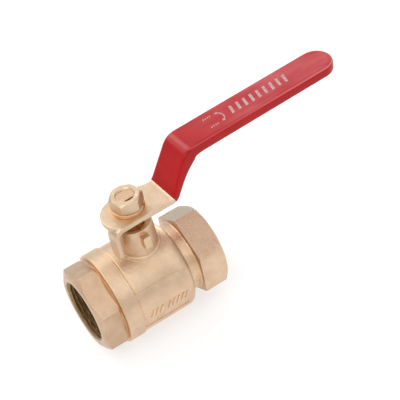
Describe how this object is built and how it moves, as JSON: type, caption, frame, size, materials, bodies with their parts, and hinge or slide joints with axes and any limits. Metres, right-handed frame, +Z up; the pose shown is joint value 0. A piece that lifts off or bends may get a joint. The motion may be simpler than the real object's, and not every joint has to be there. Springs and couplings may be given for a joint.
{
  "type": "water shutoff valve",
  "caption": "Quarter-turn brass ball valve with internal pipe threads at both ends and a bent lever in a dipped vinyl sleeve.",
  "frame": {"origin": "centre of the inlet port face", "axes": "+X along the pipe from inlet to outlet, +Z up the stem, +Y to the left when looking along +X"},
  "size_m": [0.2089, 0.0622, 0.1173],
  "materials": {
    "cast_brass": "sandblasted forged brass with machined faces",
    "machined_brass": "turned brass, satin",
    "plated_steel": "pressed steel with a yellowish satin plating",
    "vinyl": "dipped red vinyl, soft gloss",
    "ptfe": "turned PTFE, waxy matt",
    "chromed_brass": "polished and chromed",
    "graphite": "flat fibre gasket, dark"
  },
  "bodies": {
    "body": {"valve_body": "cast_brass", "end_cap": "machined_brass", "cap_gasket": "graphite", "inlet_seat": "ptfe", "outlet_seat": "ptfe", "thrust_washer": "ptfe", "packing_lower": "ptfe", "packing_middle": "ptfe", "packing_upper": "ptfe", "gland_nut": "machined_brass"},
    "handle": {"stem": "machined_brass", "lever": "plated_steel", "lever_sleeve": "vinyl", "spring_washer": "plated_steel", "lever_nut": "plated_steel"},
    "ball": {"ball": "chromed_brass"}
  },
  "joints": [
    {"name": "handle_turn", "type": "hinge", "parent": "body", "child": "handle", "pos_m": [0.0475, 0, 0], "axis": [0, 0, 1], "range_deg": [-92.5, 0]},
    {"name": "ball_turn", "type": "hinge", "parent": "body", "child": "ball", "pos_m": [0.0475, 0, 0], "axis": [0, 0, 1], "range_deg": [-92.5, 0]}
  ],
  "couplings": [
    {"joint": "ball_turn", "follows": "handle_turn", "ratio": 1}
  ]
}
